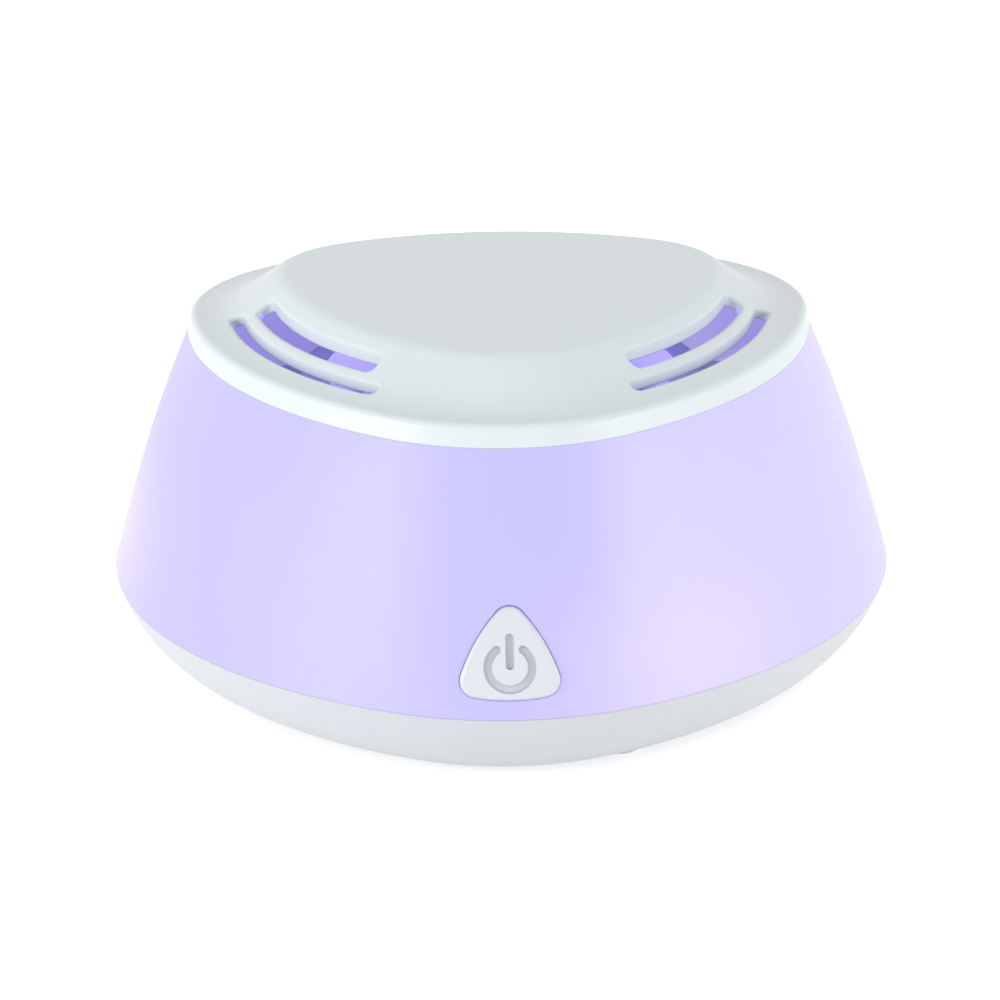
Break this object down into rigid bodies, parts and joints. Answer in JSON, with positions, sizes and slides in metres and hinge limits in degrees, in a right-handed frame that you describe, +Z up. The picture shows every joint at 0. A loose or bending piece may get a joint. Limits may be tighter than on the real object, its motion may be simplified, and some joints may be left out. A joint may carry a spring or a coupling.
{
  "type": "essential oil diffuser",
  "caption": "Rounded-triangle fan diffuser: shallow base, translucent lit shade, vented lift-off lid, scent pad tray, and a power button on the front corner.",
  "frame": {"origin": "on the resting surface, under the centre of the bounding box", "axes": "+Z up, -Y towards the front corner with the power button, +X to the right seen from the front"},
  "size_m": [0.1244, 0.1252, 0.0596],
  "materials": {
    "white_gloss": "smooth satin-gloss injection moulding",
    "translucent_shade": "frosted translucent, lit from inside",
    "button_white": "smooth satin, engraved symbol",
    "inner_white": "fine matt moulding",
    "inner_grey": "fine matt moulding",
    "fan_black": "glass-filled nylon",
    "felt": "pressed cotton felt",
    "board_green": "printed circuit board, solder mask",
    "chip_black": "moulded epoxy",
    "steel": "machined steel",
    "zinc_screw": "zinc-plated steel",
    "silver_shell": "nickel-plated shell",
    "magnet": "ferrite ring",
    "bronze": "sintered bronze",
    "copper": "enamelled copper wire",
    "core_steel": "laminated steel",
    "cell_wrap": "heat-shrink sleeve",
    "nickel": "nickel strip",
    "lamp": "lens",
    "rubber_foot": "soft elastomer",
    "wire_red": "insulated lead",
    "wire_grey": "insulated lead"
  },
  "bodies": {
    "base": {"base_shell": "white_gloss", "shade": "translucent_shade", "button_frame": "inner_white", "button_board": "board_green", "tact_switch": "chip_black", "mid_deck": "inner_white", "fan_frame": "fan_black", "fan_bearing": "bronze", "stator_core": "core_steel", "stator_windings": "copper", "deck_screws": "zinc_screw", "fan_screws": "zinc_screw", "air_duct": "inner_white", "battery_cell_right": "cell_wrap", "cell_saddle_right": "inner_grey", "battery_cell_left": "cell_wrap", "cell_saddle_left": "inner_grey", "battery_tabs": "nickel", "main_board": "board_green", "controller_chip": "chip_black", "capacitor": "silver_shell", "power_coil": "chip_black", "power_inlet": "silver_shell", "inlet_tongue": "chip_black", "light_strip_right": "board_green", "light_strip_back": "board_green", "light_strip_left": "board_green", "lamps": "lamp", "foot_pads": "rubber_foot", "button_wires": "wire_grey", "fan_wires": "wire_red", "battery_wires": "wire_red"},
    "lid": {"lid": "white_gloss"},
    "tray": {"pad_tray": "inner_white", "scent_pad": "felt"},
    "button": {"power_button": "button_white", "switch_plunger": "inner_grey"},
    "fan_rotor": {"fan_impeller": "fan_black", "fan_shaft": "steel", "fan_magnet": "magnet"}
  },
  "joints": [
    {"name": "lid_lift", "type": "slide", "parent": "base", "child": "lid", "axis": [0, 0, 1], "range_m": [0, 0.05]},
    {"name": "tray_lift", "type": "slide", "parent": "base", "child": "tray", "axis": [0, 0, 1], "range_m": [0, 0.025]},
    {"name": "button_press", "type": "slide", "parent": "base", "child": "button", "axis": [0, 0.9537, -0.3007], "range_m": [0, 0.0005], "stiffness_N_per_m": 3000, "springref_m": -0.0002},
    {"name": "fan_spin", "type": "hinge", "parent": "base", "child": "fan_rotor", "pos_m": [0, 0.00262, 0.028], "axis": [0, 0, 1], "continuous": true}
  ],
  "couplings": [
    {"joint": "tray_lift", "follows": "lid_lift", "ratio": 0.5}
  ]
}
